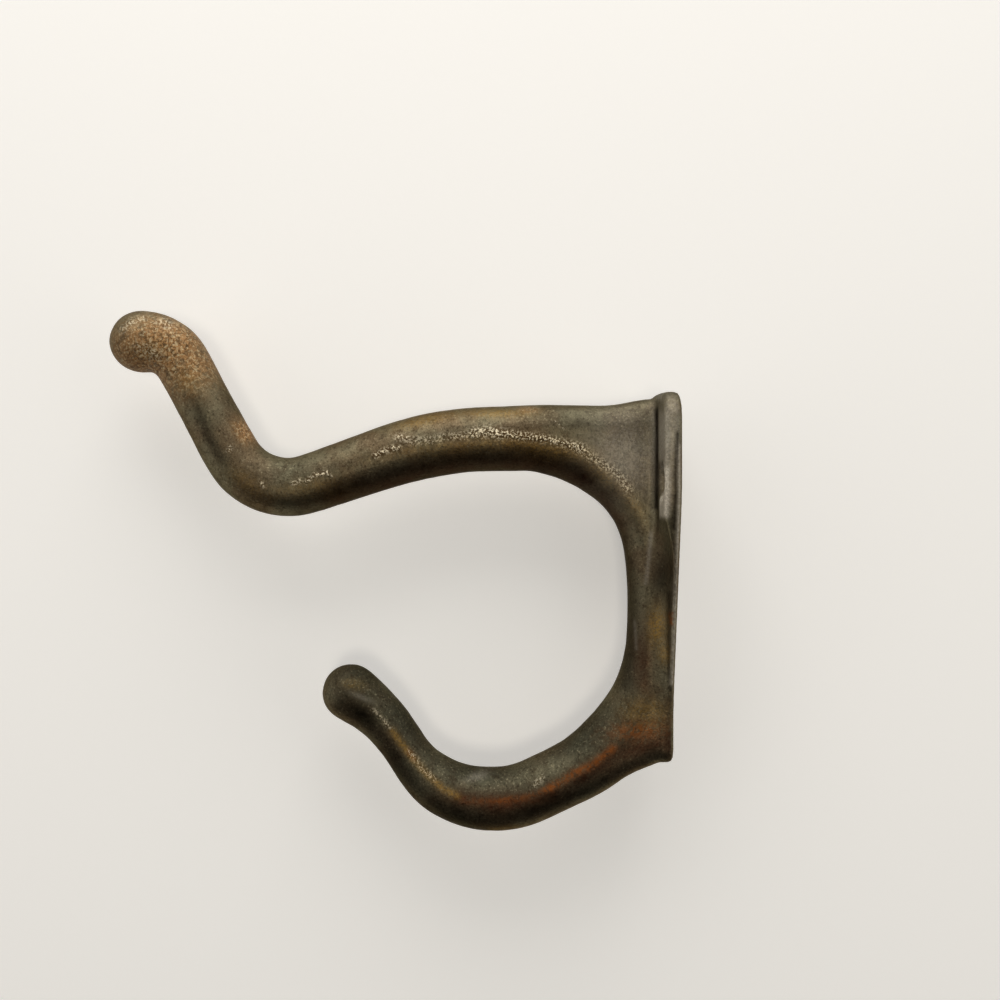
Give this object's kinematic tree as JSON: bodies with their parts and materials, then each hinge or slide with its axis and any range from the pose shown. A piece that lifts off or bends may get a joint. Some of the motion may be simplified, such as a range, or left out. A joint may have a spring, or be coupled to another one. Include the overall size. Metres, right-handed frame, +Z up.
{
  "type": "double hook",
  "caption": "Solid cast double hook for hats and coats: a long upper arm and a short lower hook on a narrow wall plate with countersunk screw holes.",
  "frame": {"origin": "centre of the wall plate's back face", "axes": "+Z up the wall, +Y into the wall so that the hooks stand out along -Y, +X across to the right as seen from the room"},
  "size_m": [0.0264, 0.0887, 0.0825],
  "materials": {
    "patinated_brass": "dark brown and olive patina on cast brass, rubbed to gold along the ridges"
  },
  "bodies": {
    "root": {"double_hook": "patinated_brass"}
  },
  "joints": []
}
